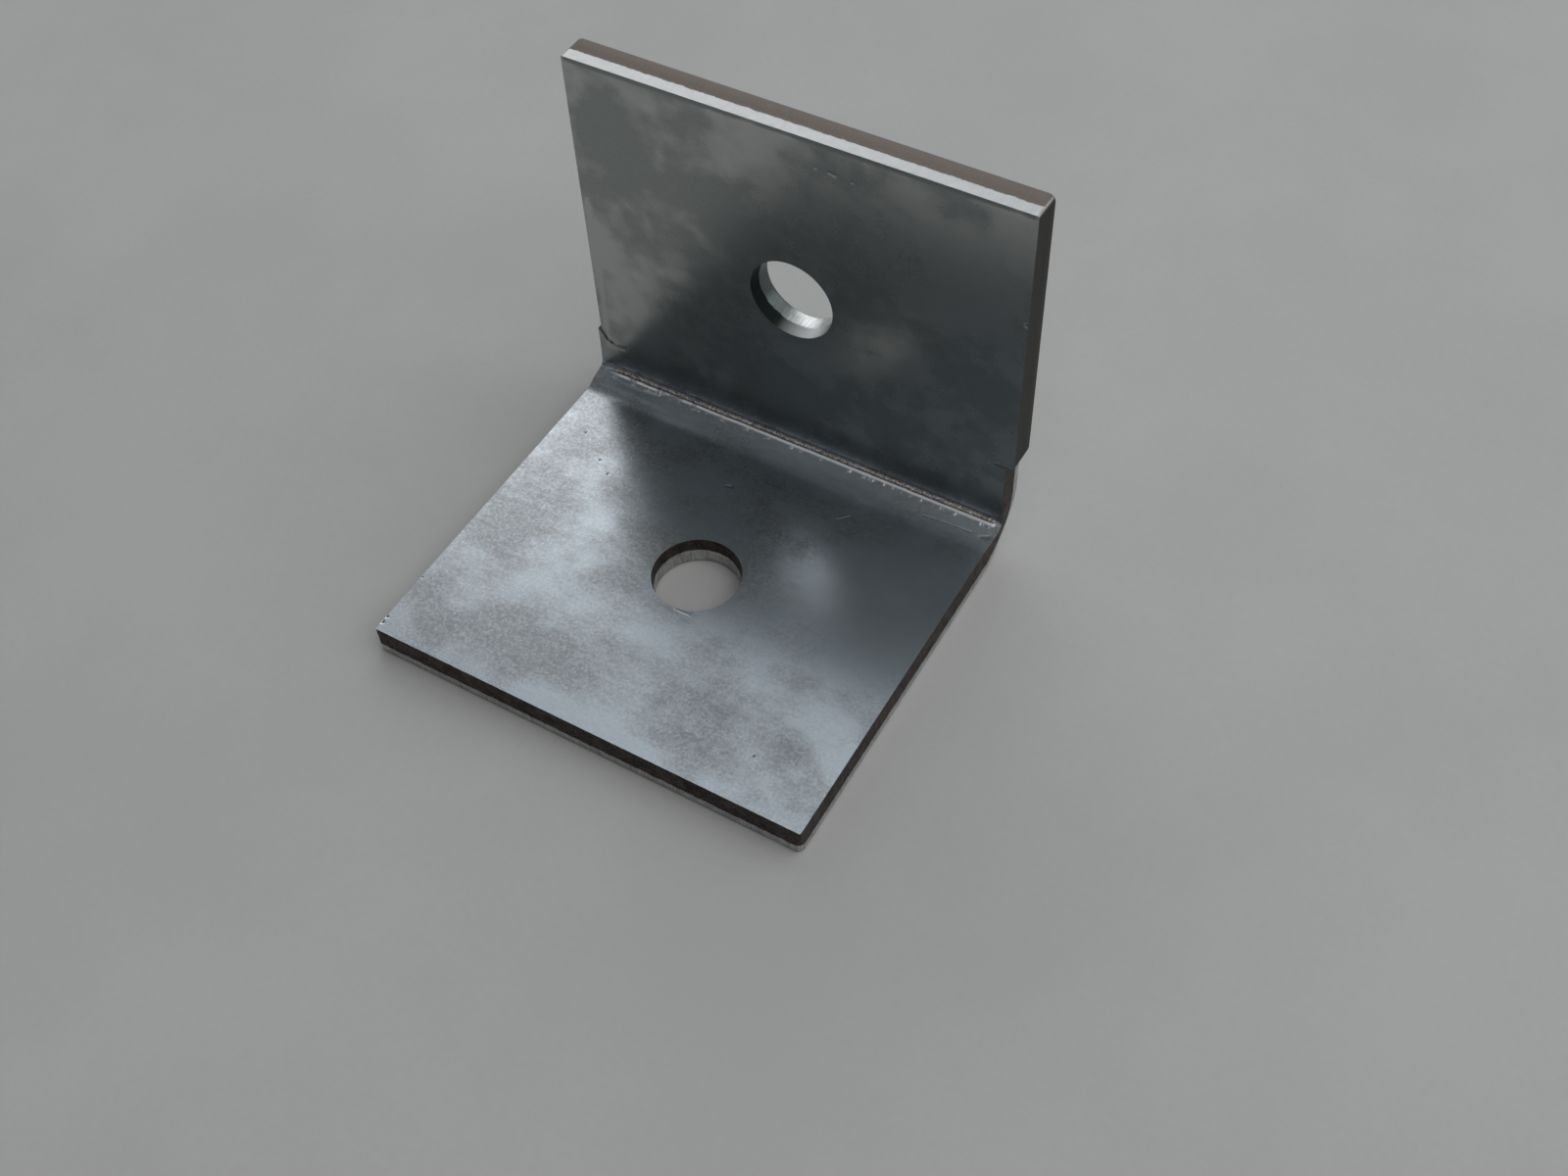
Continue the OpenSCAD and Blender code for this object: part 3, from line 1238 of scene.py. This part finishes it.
    def make(self) -> bpy.types.NodeTree:
        """Builds the tree.

        Returns:
            The node group, with its inputs named.
        """
        tree = bpy.data.node_groups.new("fold_plate", "GeometryNodeTree")
        tree.interface.new_socket("Geometry", in_out="INPUT", socket_type="NodeSocketGeometry")
        for name in self.inputs():
            tree.interface.new_socket(name, in_out="INPUT", socket_type="NodeSocketFloat")
        tree.interface.new_socket("Geometry", in_out="OUTPUT", socket_type="NodeSocketGeometry")
        g = Graph(tree)
        source = g.node("NodeGroupInput")
        given = {name: source.outputs[name] for name in self.inputs()}
        inside = g.named("inside")
        x, y, z = self.roughened(g, given, g.node("GeometryNodeInputPosition").outputs[0])
        share = g.node("ShaderNodeClamp", {0: g.math("DIVIDE", y, given["Fold length"])}).outputs[0]
        turn = g.math("MULTIPLY", share, QUARTER)
        pressed, coined, glint_and_shade = self.crease(g, given, x, turn)
        level = g.math("DIVIDE", g.math("ADD", z, given["Thickness"]), given["Thickness"])
        beyond = g.math("MULTIPLY", self.free_bend(g, given, x, turn), level)
        depth = g.math("SUBTRACT", g.math("MULTIPLY_ADD", pressed, inside, beyond), z)
        reach = g.math("ADD", given["Fold radius"], depth)
        before = g.math("MINIMUM", y, 0.0)
        after = g.math("MAXIMUM", g.math("SUBTRACT", y, given["Fold length"]), 0.0)
        new_y = g.math("ADD", given["Axis Y"], g.math("MULTIPLY_ADD", reach, g.math("SINE", turn), before))
        fall = g.math("MULTIPLY", reach, g.math("COSINE", turn))
        new_z = g.math("SUBTRACT", g.math("ADD", given["Axis Z"], after), fall)
        new_x = g.math("ADD", x, given["Centre shift"])
        kept = g.stored(source.outputs["Geometry"], "coined", g.math("MULTIPLY", coined, inside))
        # Keeps the crease's painted glint (positive) and painted shadow (negative) for the material.
        kept = g.stored(kept, "glint_and_shade", g.math("MULTIPLY", glint_and_shade, inside))
        folded = g.node("GeometryNodeSetPosition", {
            "Geometry": kept, "Position": g.combine(new_x, new_y, new_z)})
        whole = g.node("GeometryNodeRealizeInstances", {0: folded.outputs[0]})
        dressed = g.node("GeometryNodeSetMaterial", {"Geometry": whole.outputs[0], "Material": self.mill})
        is_cut = g.node("FunctionNodeCompare", {2: g.named("zone", "INT"), 3: Zone.CUT_EDGE.value},
                        data_type="INT", operation="EQUAL")
        final = g.node("GeometryNodeSetMaterial", {
            "Geometry": dressed.outputs[0], "Selection": is_cut.outputs[0], "Material": self.cut})
        g.node("NodeGroupOutput", {0: final.outputs[0]})
        return tree

    def apply(self, flat: bpy.types.Mesh, name: str) -> bpy.types.Object:
        """Runs the tree on the flat plate and keeps the result as a plain mesh.

        Args:
            flat: Mesh of the flat plate.
            name: Name of the finished object.

        Returns:
            The finished object.
        """
        tree = self.make()
        blank = place_object("flat_plate", flat)
        modifier = blank.modifiers.new("fold", "NODES")
        modifier.node_group = tree
        keys = {s.name: s.identifier for s in tree.interface.items_tree if s.in_out == "INPUT"}
        for label, amount in self.inputs().items():
            modifier[keys[label]] = amount
        bpy.context.view_layer.update()
        folded = blank.evaluated_get(bpy.context.evaluated_depsgraph_get())
        made = bpy.data.meshes.new_from_object(folded)
        bpy.data.objects.remove(blank)
        made.name = name
        return place_object(name, made)


@dataclass
class Bracket:
    """The whole bracket, one folded plate. Sizes are in millimetres."""

    sizes: PlateSizes = field(default_factory=PlateSizes)
    face_spacing: float = 0.7
    back_spacing: float = 1.0
    fold_spacing: float = 0.22
    face_gap: float = 0.3
    crease_spacing: float = 0.075
    crease_across: float = 0.16
    crease_reach: float = 1.25
    crease_gap: float = 0.1
    bead_start: float = -0.16
    bead_end: float = 0.34
    bead_spacing: float = 0.036
    bead_gap: float = 0.02
    mark_gap: float = 0.06
    merge_distance: float = 1e-7
    marks: tuple = (
        Mark(Leg.BASE, ((-3.1, 7.6), (-2.7, 7.5)), 0.16, 0.02, 0.5),
        Mark(Leg.BASE, ((8.3, 6.3), (9.3, 5.2)), 0.07, 0.012, 0.4),
        Mark(Leg.BASE, ((15.0, 33.0),), 0.18, 0.04, -0.8),
        Mark(Leg.BASE, ((-19.1, 8.3),), 0.22, 0.04, -0.45),
        Mark(Leg.BASE, ((-15.8, 10.7),), 0.18, 0.03, -0.35),
        Mark(Leg.BASE, ((-14.1, 11.8),), 0.16, 0.03, -0.35),
        Mark(Leg.BASE, ((12.9, 5.1),), 0.14, 0.02, -0.5),
        Mark(Leg.BASE, ((22.0, 0.9), (21.4, 1.2)), 0.3, 0.03, -0.7),
        Mark(Leg.BASE, ((-22.2, 36.9),), 0.2, 0.08, -1.0),
        Mark(Leg.BASE, ((-22.2, 36.2),), 0.16, 0.06, -1.0),
        Mark(Leg.BASE, ((-22.25, 30.9),), 0.14, 0.05, -0.9),
        # Raised burr on the rim of the base's hole; its tone of 1.0 paints a pale glint on it.
        Mark(Leg.BASE, ((0.5, 22.75), (1.9, 22.72)), 0.16, -0.01, 1.0),
        Mark(Leg.BASE, ((-21.4, -0.5), (-19.1, -0.3), (-17.2, -0.2), (-15.4, -0.45)), 0.6, -0.04, 0.8),
        Mark(Leg.BASE, ((15.3, 1.45), (17.6, 1.25), (20.2, 1.1)), 0.12, 0.02, -0.3),
        Mark(Leg.UPRIGHT, ((3.1, 35.1),), 0.18, 0.02, 0.45),
        Mark(Leg.UPRIGHT, ((4.5, 35.1), (4.8, 35.0)), 0.2, 0.02, 0.45),
        Mark(Leg.UPRIGHT, ((6.6, 34.9),), 0.2, 0.02, 0.4),
        Mark(Leg.UPRIGHT, ((-22.1, 5.8), (-21.65, 5.24), (-21.4, 4.7), (-20.9, 4.4)), 0.2, 0.1, -0.9),
        Mark(Leg.UPRIGHT, ((-20.9, 4.4), (-20.2, 4.25), (-19.4, 4.2)), 0.3, 0.05, -0.25),
        Mark(Leg.UPRIGHT, ((22.4, 8.55), (21.4, 8.5)), 0.16, 0.05, -0.5),
        Mark(Leg.UPRIGHT, ((-21.3, 4.0), (-21.2, 13.0), (-21.35, 22.5)), 0.4, 0.01, 0.2),
        Mark(Leg.UPRIGHT, ((23.0, 26.3),), 0.25, 0.08, -0.6),
        Mark(Leg.UPRIGHT, ((22.95, 8.1),), 0.25, 0.06, -0.5),
        Mark(Leg.UPRIGHT, ((-21.6, 37.65), (22.7, 37.65)), 0.4, 0.01, -0.3),
    )
    patches: tuple = (
        Patch(Leg.BASE, (16.0, 12.0), (8.0, 10.0), 0.3),
        Patch(Leg.BASE, (0.0, 37.2), (60.0, 1.3), 0.12),
        Patch(Leg.BASE, (-18.3, 9.0), (3.0, 3.5), -0.15),
        Patch(Leg.BASE, (-19.0, 20.0), (3.0, 4.0), -0.25),
        Patch(Leg.BASE, (-7.0, 32.0), (5.0, 3.0), -0.2),
        Patch(Leg.BASE, (5.0, 27.5), (3.5, 2.5), 0.1),
        Patch(Leg.BASE, (19.0, 24.5), (3.5, 4.0), 0.2),
        Patch(Leg.UPRIGHT, (-18.0, 29.5), (3.5, 4.0), -0.5),
        Patch(Leg.UPRIGHT, (-9.5, 35.5), (3.0, 2.5), -0.3),
        Patch(Leg.UPRIGHT, (-17.0, 22.0), (3.0, 3.0), -0.12),
        Patch(Leg.UPRIGHT, (-9.5, 27.5), (4.5, 5.0), -0.3),
        Patch(Leg.UPRIGHT, (-4.5, 23.5), (3.5, 4.0), -0.4),
        Patch(Leg.UPRIGHT, (20.0, 17.0), (3.5, 5.0), -0.3),
        Patch(Leg.UPRIGHT, (-1.0, 7.0), (6.0, 3.5), -0.4),
        Patch(Leg.UPRIGHT, (-17.5, 10.0), (3.0, 5.0), 0.25),
        Patch(Leg.UPRIGHT, (18.0, 27.0), (4.0, 5.0), 0.2),
    )

    def outer_loop(self) -> EdgeLoop:
        """The plate's outer edge, from the front left corner round by the right.

        Returns:
            The edge, with its straight stretches and corners in order.
        """
        s = self.sizes
        half = s.base_width / 2
        right = half + s.right_step
        left = half - s.left_step
        low, top, ledge, jog = s.base_end, s.upright_end, s.ledge, s.jog
        r, q, inner = s.corner_radius, s.right_step_radius, s.torn_corner_radius
        stretches = [
            Straight((r - half, low), (half - r, low)),
            Corner((half - r, low + r), r, -90, inner),
            Straight((half, low + r), (half, ledge)),
            Straight((half, ledge), (right - q, ledge), False, 1.0, 0.0),
            Corner((right - q, ledge + q), q, -90, inner, False, 8),
            Straight((right, ledge + q), (right, top - r)),
            Corner((right - r, top - r), r, 0, inner),
            Straight((right - r, top), (r - left, top)),
            Corner((r - left, top - r), r, 90, inner),
            Straight((-left, top - r), (-left, jog)),
            Straight((-left, jog), (-half, jog), False, -1.0, -1.0),
            Straight((-half, jog), (-half, low + r)),
            Corner((r - half, low + r), r, 180, inner),
        ]
        return EdgeLoop(CutProfile(s.thickness, s.torn_lean, s.edge_land, s.edge_rim), stretches)

    def holes(self) -> list[Hole]:
        """The two punched holes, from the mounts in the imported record.

        Returns:
            The base's hole, then the upright's.
        """
        s = self.sizes
        found = []
        for mount in frame["record"]["mounts"]:
            if mount["kind"] != "bore":
                continue
            x, y, z = (p / MM for p in mount["pos_m"])
            lying = abs(mount["axis"][2]) > 0.5
            place = y - s.axis_y if lying else s.raised(z)
            found.append(Hole((x - s.centre_shift, place), mount["dims"]["r_mm"]))
        return found

    def grid(self, spacing: float, fold_spacing: float) -> np.ndarray:
        """Points inside a face of the flat plate, with rows on both ends of the fold.

        Args:
            spacing: Distance between the points on the legs.
            fold_spacing: Distance between the rows in the fold.

        Returns:
            An array of points across and along the flat plate.
        """
        s = self.sizes
        half = s.base_width / 2
        upright = s.upright_end - s.fold_length
        rows = [np.linspace(s.base_end, 0, round(-s.base_end / spacing))[1:],
                np.linspace(0, s.fold_length, round(s.fold_length / fold_spacing))[1:],
                np.linspace(s.fold_length, s.upright_end, round(upright / spacing))[1:-1]]
        across = np.linspace(-half, half + s.right_step, round((s.base_width + s.right_step) / spacing))
        return self.staggered(across, np.concatenate(rows), across[1] - across[0])

    def crease_grid(self) -> np.ndarray:
        """Finer points where the crease is pressed in.

        Returns:
            An array of points across and along the flat plate.
        """
        s = self.sizes
        middle, stretch = s.crease_line, s.crease_stretch
        reach = self.crease_reach * stretch
        rows = np.arange(middle - reach, middle + reach, self.crease_spacing * stretch)
        first = middle - self.bead_end * stretch
        last = middle - self.bead_start * stretch
        fine = np.arange(first, last, self.bead_spacing * stretch)
        beside = (rows < first - self.bead_gap) | (rows > last + self.bead_gap)
        left = self.crease_gap - s.base_width / 2
        across = np.arange(left, s.base_width / 2 - self.crease_gap / 2, self.crease_across)
        return self.staggered(across, np.sort(np.concatenate([rows[beside], fine])), self.crease_across)

    def staggered(self, across: np.ndarray, rows: np.ndarray, step: float) -> np.ndarray:
        """Points in rows, where every other row stands half a step to the right.

        Args:
            across: Places across the plate.
            rows: Places of the rows along the flat plate.
            step: Distance between the points of a row.

        Returns:
            An array of points across and along the flat plate.
        """
        x, y = np.meshgrid(across, rows)
        x = x + 0.5 * step * (np.arange(len(rows)) % 2)[:, None]
        return np.column_stack([x.ravel(), y.ravel()])

    def clear(self, points: np.ndarray, gap: float) -> np.ndarray:
        """Leaves out the points that lie in a hole, past an edge or too near one.

        Args:
            points: Points across and along the flat plate.
            gap: Least distance from an edge.

        Returns:
            The points that are left.
        """
        s = self.sizes
        x, y = points.T
        room = s.torn_lean + gap
        right = s.base_width / 2 + np.where(y > s.ledge, s.right_step, 0.0)
        left = np.where(y > s.jog, s.left_step, 0.0) - s.base_width / 2
        keep = (x < right - room) & (x > left + room)
        keep &= (y > s.base_end + room) & (y < s.upright_end - room)
        for hole in self.holes():
            keep &= np.linalg.norm(points - hole.centre, axis=1) > hole.radius + room
        return points[keep]

    def fill(self, parts: MeshParts, loops: list[np.ndarray], points: np.ndarray, depth: float,
             upward: bool) -> np.ndarray:
        """Fills a face of the flat plate between its edges with triangles.

        Args:
            parts: The mesh in the making.
            loops: Numbers of the edges' points in the mesh.
            points: Points inside the face.
            depth: Depth of the face below the inside face.
            upward: True for the inside face.

        Returns:
            The numbers of the points inside the face.
        """
        placed = np.concatenate(parts.points)[:, :2]
        fresh = parts.add_points(np.column_stack([points, np.full(len(points), depth)]),
                                 inside=1.0 if upward else 0.0, depth=depth)
        known = np.concatenate(loops + [fresh])
        flat = [Vector(p) for p in np.concatenate([placed[loop] for loop in loops] + [points])]
        edges = []
        start = 0
        for loop in loops:
            edges += [(start + i, start + (i + 1) % len(loop)) for i in range(len(loop))]
            start += len(loop)
        verts, _, faces, origin, _, _ = delaunay_2d_cdt(flat, edges, [], 1, self.merge_distance)
        if len(verts) > len(flat):
            raise ValueError("an edge of the plate crosses itself")
        corners = known[[o[0] for o in origin]][np.array(faces)]
        for loop in loops[1:]:
            corners = corners[~np.all(np.isin(corners, loop), axis=1)]
        parts.add_faces((corners if upward else corners[:, ::-1]).tolist(), Zone.MILL_FACE)
        return fresh

    def relief(self, parts: MeshParts) -> None:
        """Presses the marks into the inside face, and stores their tone and that of the patches.

        Args:
            parts: The mesh in the making.
        """
        points = np.concatenate(parts.points)
        inside = np.concatenate(parts.values["inside"]) > 0.5
        tone = np.zeros(len(points))
        for mark in self.marks:
            strength = mark.strength(self.sizes, points[inside][:, :2])
            points[inside, 2] += mark.depth * strength
            tone[inside] += mark.tone * strength
        parts.points = [points]
        parts.values["tone"] = [np.clip(tone, -1, 1)]
        parts.values["patch"] = [inside * sum(p.amount(self.sizes, points[:, :2]) for p in self.patches)]

    def flat(self) -> bpy.types.Mesh:
        """Lays out the flat plate.

        Returns:
            Mesh of the flat plate, closed and with its attributes.
        """
        s = self.sizes
        parts = MeshParts()
        holes = self.holes()
        looks = EdgeLooks(s.upright_end, s.ledge, s.thickness, holes[1].centre)
        punched = CutProfile(s.thickness, s.torn_lean, s.hole_land, s.hole_rim)
        loops = [self.outer_loop()] + [EdgeLoop(punched, [hole]) for hole in holes]
        ends = [loop.build(parts, looks, FoldBulge(s)) for loop in loops]
        front = self.clear(self.grid(self.face_spacing, self.fold_spacing), self.face_gap)
        beside = np.abs(front[:, 1] - s.crease_line) > self.crease_reach * s.crease_stretch
        fine = [self.clear(self.crease_grid(), self.crease_gap)]
        fine += [self.clear(mark.near(s), self.mark_gap) for mark in self.marks]
        self.fill(parts, [e[0] for e in ends], np.concatenate([front[beside], *fine]), 0.0, True)
        back = self.grid(self.back_spacing, 2 * self.fold_spacing)
        back = self.clear(back, s.edge_rim + self.face_gap)
        self.fill(parts, [e[1] for e in ends], back, s.thickness, False)
        self.relief(parts)
        return parts.mesh("flat_plate")

    def build(self) -> bpy.types.Object:
        """Builds and dresses the bracket.

        Returns:
            The finished object, in its place.
        """
        tree = FoldTree(self.sizes, MillSteel().material(), CutSteel().material())
        piece = tree.apply(self.flat(), "bracket_plate")
        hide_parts("bracket")
        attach(piece, "root")
        return piece


@dataclass(frozen=True)
class SoftPanel:
    """Large soft light that faces the bracket."""

    name: str
    towards: tuple[float, float, float]
    distance: float
    width: float
    height: float
    level: float
    colour: tuple[float, float, float] = (1.0, 1.0, 1.0)

    def place(self) -> bpy.types.Object:
        """Makes the light. Its level is the brightness of its face, where 1 is white.

        Returns:
            The light's object.
        """
        data = bpy.data.lights.new(self.name, "AREA")
        data.shape = "RECTANGLE"
        data.size = self.width
        data.size_y = self.height
        data.color = self.colour
        data.energy = self.level * math.pi * self.width * self.height
        made = place_object(self.name, data)
        way = Vector(self.towards).normalized()
        made.location = way * self.distance
        made.rotation_euler = way.to_track_quat("Z", "Y").to_euler()
        return made


@dataclass(frozen=True)
class PhotoCamera:
    """Camera at the photograph's viewing angle. Its place, lens and sensor are in millimetres."""

    place: tuple = (63.12, -85.85, 133.35)
    right: tuple = (0.8649, 0.5011, -0.0318)
    up: tuple = (-0.3756, 0.6876, 0.6214)
    forward: tuple = (-0.3331, 0.5254, -0.7828)
    lens: float = 41.54
    sensor: float = 36.0
    clip: tuple[float, float] = (0.01, 20.0)

    def make(self) -> bpy.types.Object:
        """Makes the camera and gives it to the scene.

        Returns:
            The camera's object.
        """
        data = bpy.data.cameras.new("photo_camera")
        data.lens = self.lens
        data.sensor_width = self.sensor
        data.clip_start, data.clip_end = self.clip
        made = place_object("photo_camera", data)
        turned = Matrix([self.right, self.up, [-f for f in self.forward]]).transposed().to_4x4()
        made.matrix_world = Matrix.Translation(Vector(self.place) * MM) @ turned
        bpy.context.scene.camera = made
        return made


@dataclass
class Studio:
    """Pale floor, soft panels and a dim room."""

    flat_rings: tuple = (0.25, 0.6, 1.2)
    floor_radius: float = 2.0
    rim_radius: float = 0.3
    rim_rings: int = 9
    steps: int = 96
    room: tuple = (0.93, 0.98, 1.02, 1)
    front_room: tuple = (0.89, 0.98, 1.05, 1)
    back_level: float = 0.66
    top_level: float = 0.075
    front_level: float = 0.33
    dark_level: float = 0.05
    dark_side: tuple = (-0.5, -0.75, -0.43)
    back_edge: float = -0.52
    top_edge: float = -0.24
    front_edge: float = 0.15
    dark_edge: float = 0.31
    panels: tuple = (
        SoftPanel("window_panel", (-0.58, 0.78, 0.58), 0.45, 0.46, 0.26, 1.2),
        SoftPanel("ceiling_panel", (0.4, -0.1, 0.91), 0.5, 0.46, 0.46, 1.22, (1.0, 0.985, 0.96)),
        SoftPanel("right_panel", (0.75, 0.55, 0.5), 0.5, 0.4, 0.36, 0.55, (1.0, 0.985, 0.96)),
    )

    def floor(self) -> bpy.types.Object:
        """Makes a round floor whose far rim turns up, so that no view looks past it.

        Returns:
            The floor's object.
        """
        turn = np.linspace(0, QUARTER, self.rim_rings)
        radii = [*self.flat_rings, *(self.floor_radius + self.rim_radius * np.sin(turn))]
        heights = [0.0] * len(self.flat_rings) + [*(self.rim_radius * (1 - np.cos(turn)))]
        around = np.linspace(0, 2 * math.pi, self.steps, endpoint=False)
        points = [(0.0, 0.0, 0.0)]
        for radius, height in zip(radii, heights):
            points += [(radius * math.cos(a), radius * math.sin(a), height) for a in around]
        faces = [(0, 1 + i, 1 + (i + 1) % self.steps) for i in range(self.steps)]
        for ring in range(len(radii) - 1):
            first = 1 + ring * self.steps
            for i in range(self.steps):
                j = (i + 1) % self.steps
                faces.append((first + i, first + self.steps + i, first + self.steps + j, first + j))
        mesh = bpy.data.meshes.new("floor")
        mesh.from_pydata(points, [], faces)
        mesh.materials.append(PaleFloor().material())
        made = place_object("floor", mesh)
        return made

    def world(self) -> None:
        """Makes the soft room light, which is dark towards the front left."""
        made = bpy.data.worlds.new("room")
        made.use_nodes = True
        graph = Graph(made.node_tree)
        way = graph.node("ShaderNodeTexCoord").outputs["Generated"]
        facing = graph.node("ShaderNodeVectorMath", {0: way, 1: self.dark_side}, operation="DOT_PRODUCT")
        side = facing.outputs["Value"]
        top, front, dark = self.top_level, self.front_level, self.dark_level
        behind = graph.remap(side, Span(self.back_edge, self.top_edge, self.back_level - top, 0.0))
        ahead = graph.remap(side, Span(self.top_edge, self.front_edge, top, front))
        fall = graph.remap(side, Span(self.front_edge, self.dark_edge, 1.0, dark / front))
        turned = graph.remap(side, Span(self.top_edge, self.front_edge))
        colour = graph.mix(turned, self.room, self.front_room)
        level = graph.math("MULTIPLY_ADD", ahead, fall, behind)
        graph.feed(made.node_tree.nodes["Background"], {"Color": colour, "Strength": level})
        bpy.context.scene.world = made

    def build(self) -> None:
        """Builds the floor, the lights and the camera."""
        self.floor()
        self.world()
        for panel in self.panels:
            panel.place()
        PhotoCamera().make()
        bpy.context.scene.view_settings.view_transform = "Standard"


def main() -> None:
    """Builds the studio and the bracket."""
    logging.basicConfig(level=logging.INFO, format="%(name)s: %(message)s")
    Studio().build()
    piece = Bracket().build()
    LOG.info("%s has %d points and %d faces", piece.name, len(piece.data.vertices), len(piece.data.polygons))


if __name__ == "__main__":
    main()
